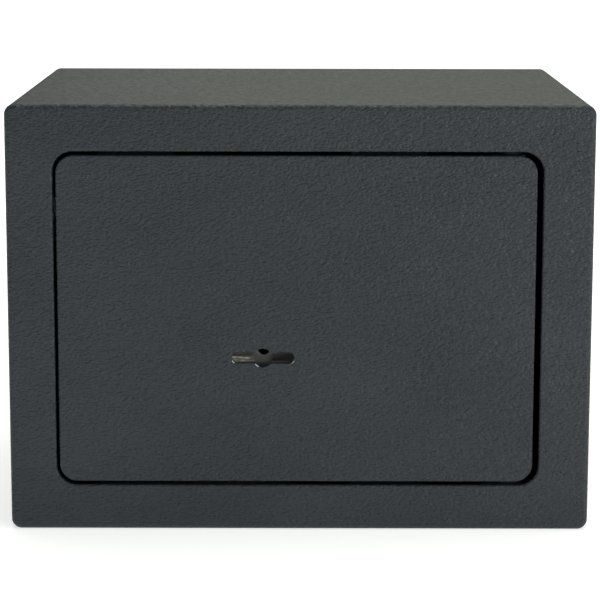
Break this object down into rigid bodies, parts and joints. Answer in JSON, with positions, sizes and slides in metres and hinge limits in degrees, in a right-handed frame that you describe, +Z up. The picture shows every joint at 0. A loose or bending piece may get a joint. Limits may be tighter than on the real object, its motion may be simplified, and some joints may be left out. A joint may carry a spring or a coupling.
{
  "type": "safe",
  "caption": "Small steel safe with a flush door on hidden pivots, a double-bit keyhole and round bolts thrown by a lever lock.",
  "frame": {"origin": "middle of the base, on the surface that the safe stands on", "axes": "+X to the right seen from the front, -Y out of the door, +Z up"},
  "size_m": [0.23, 0.17, 0.17],
  "materials": {
    "powder_coat": "fine wrinkle",
    "zinc_plate": "satin",
    "brass": "satin",
    "spring_steel": "satin",
    "nylon": "matte",
    "felt": "matte"
  },
  "bodies": {
    "cabinet": {"body_wrap": "powder_coat", "front_frame": "powder_coat", "back_panel": "powder_coat", "strike_plate": "powder_coat", "door_stops": "powder_coat", "hinge_bracket_top": "powder_coat", "hinge_bracket_bottom": "powder_coat", "hinge_pin_top": "zinc_plate", "hinge_pin_bottom": "zinc_plate", "hinge_washers": "nylon", "floor_mat": "felt"},
    "door": {"door_plate": "powder_coat", "hinge_tab_top": "powder_coat", "hinge_tab_bottom": "powder_coat", "bolt_guide": "zinc_plate", "lock_case": "zinc_plate", "lock_cap": "zinc_plate", "cap_screws": "zinc_plate", "cap_pillar": "zinc_plate", "lever_post": "zinc_plate", "lever_stop": "zinc_plate", "lock_studs": "zinc_plate", "lock_nuts": "zinc_plate", "door_back_cover": "powder_coat", "cover_studs": "zinc_plate", "cover_nuts": "zinc_plate"},
    "bolt_carriage": {"lock_bolt": "zinc_plate", "bolt_bar": "zinc_plate", "locking_bolts": "zinc_plate", "bar_screws": "zinc_plate", "tail_rivets": "zinc_plate"},
    "lever_1_body": {"lever_1": "brass", "lever_spring_1": "spring_steel"},
    "lever_2_body": {"lever_2": "brass", "lever_spring_2": "spring_steel"},
    "lever_3_body": {"lever_3": "brass", "lever_spring_3": "spring_steel"},
    "lever_4_body": {"lever_4": "brass", "lever_spring_4": "spring_steel"},
    "lever_5_body": {"lever_5": "brass", "lever_spring_5": "spring_steel"}
  },
  "joints": [
    {"name": "door_swing", "type": "hinge", "parent": "cabinet", "child": "door", "pos_m": [0.0825, -0.077, 0.085], "axis": [0, 0, 1], "range_deg": [0, 95]},
    {"name": "bolt_throw", "type": "slide", "parent": "door", "child": "bolt_carriage", "axis": [-1, 0, 0], "range_m": [0, 0.011]},
    {"name": "lever_1_lift", "type": "hinge", "parent": "door", "child": "lever_1_body", "pos_m": [0.0075, -0.075, 0.085], "axis": [0, 1, 0], "range_deg": [-3, 1.5], "stiffness_Nm_per_rad": 0.05, "springref_deg": -8.73},
    {"name": "lever_2_lift", "type": "hinge", "parent": "door", "child": "lever_2_body", "pos_m": [0.0075, -0.075, 0.085], "axis": [0, 1, 0], "range_deg": [-4.5, 1.5], "stiffness_Nm_per_rad": 0.05, "springref_deg": -10.23},
    {"name": "lever_3_lift", "type": "hinge", "parent": "door", "child": "lever_3_body", "pos_m": [0.0075, -0.075, 0.085], "axis": [0, 1, 0], "range_deg": [-2.5, 1.5], "stiffness_Nm_per_rad": 0.05, "springref_deg": -8.23},
    {"name": "lever_4_lift", "type": "hinge", "parent": "door", "child": "lever_4_body", "pos_m": [0.0075, -0.075, 0.085], "axis": [0, 1, 0], "range_deg": [-4, 1.5], "stiffness_Nm_per_rad": 0.05, "springref_deg": -9.73},
    {"name": "lever_5_lift", "type": "hinge", "parent": "door", "child": "lever_5_body", "pos_m": [0.0075, -0.075, 0.085], "axis": [0, 1, 0], "range_deg": [-3.5, 1.5], "stiffness_Nm_per_rad": 0.05, "springref_deg": -9.23}
  ]
}
